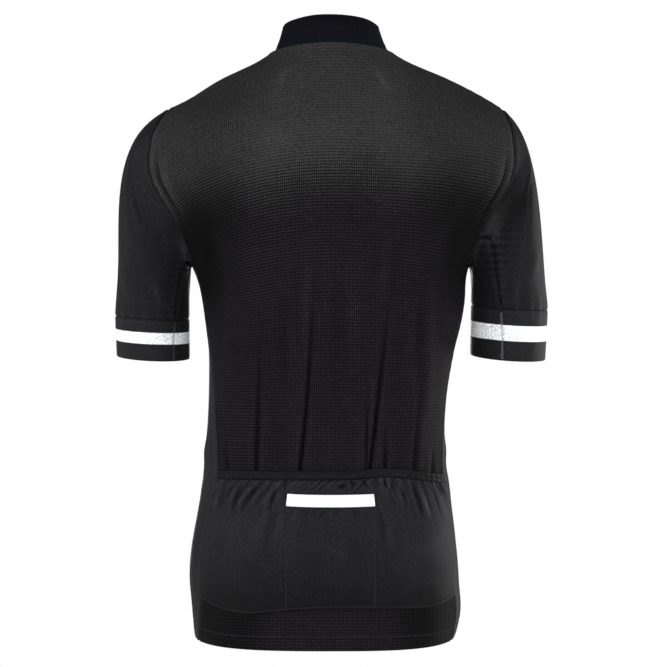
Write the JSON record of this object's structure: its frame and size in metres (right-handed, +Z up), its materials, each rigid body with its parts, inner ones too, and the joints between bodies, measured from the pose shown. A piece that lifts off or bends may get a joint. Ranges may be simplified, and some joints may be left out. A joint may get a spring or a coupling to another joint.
{
  "type": "cycling jersey",
  "caption": "Short-sleeved cycling jersey with a stand collar, a full-length front zip, striped cuffs and a row of gathered back pockets, in its open worn form.",
  "frame": {"origin": "where the wearer holds it up: midway between the two points where the shoulder seams meet the collar", "axes": "+Z up along the wearer, -Y towards the wearer's front, +X towards the wearer's left"},
  "size_m": [0.519, 0.2345, 0.7465],
  "materials": {
    "mesh_knit": "open mesh knit, matt with a faint sheen",
    "smooth_knit": "smooth stretch knit, soft sheen",
    "pocket_knit": "smooth stretch knit, soft sheen",
    "collar_knit": "dense matt knit",
    "cuff_band": "elastic band, black with one white stripe",
    "reflective_tape": "plain white reflective tape",
    "zip_tape": "woven tape",
    "zip_coil": "moulded nylon coil",
    "zip_metal": "black enamelled metal"
  },
  "bodies": {
    "garment": {"back_panel": "mesh_knit", "collar": "collar_knit", "front_left": "smooth_knit", "side_panel_left": "smooth_knit", "sleeve_left": "smooth_knit", "cuff_left": "cuff_band", "zip_tape_left": "zip_tape", "front_right": "smooth_knit", "side_panel_right": "smooth_knit", "sleeve_right": "smooth_knit", "cuff_right": "cuff_band", "zip_tape_right": "zip_tape", "pocket_panel": "pocket_knit", "pocket_band": "pocket_knit", "reflective_strip": "reflective_tape", "zip_coil": "zip_coil", "zip_slider": "zip_metal"},
    "pull_tab": {"zip_pull": "zip_metal"}
  },
  "joints": [
    {"name": "zip_pull_swing", "type": "hinge", "parent": "garment", "child": "pull_tab", "pos_m": [0, -0.0792, -0.0331], "axis": [-1, 0, 0], "range_deg": [0, 170]}
  ]
}
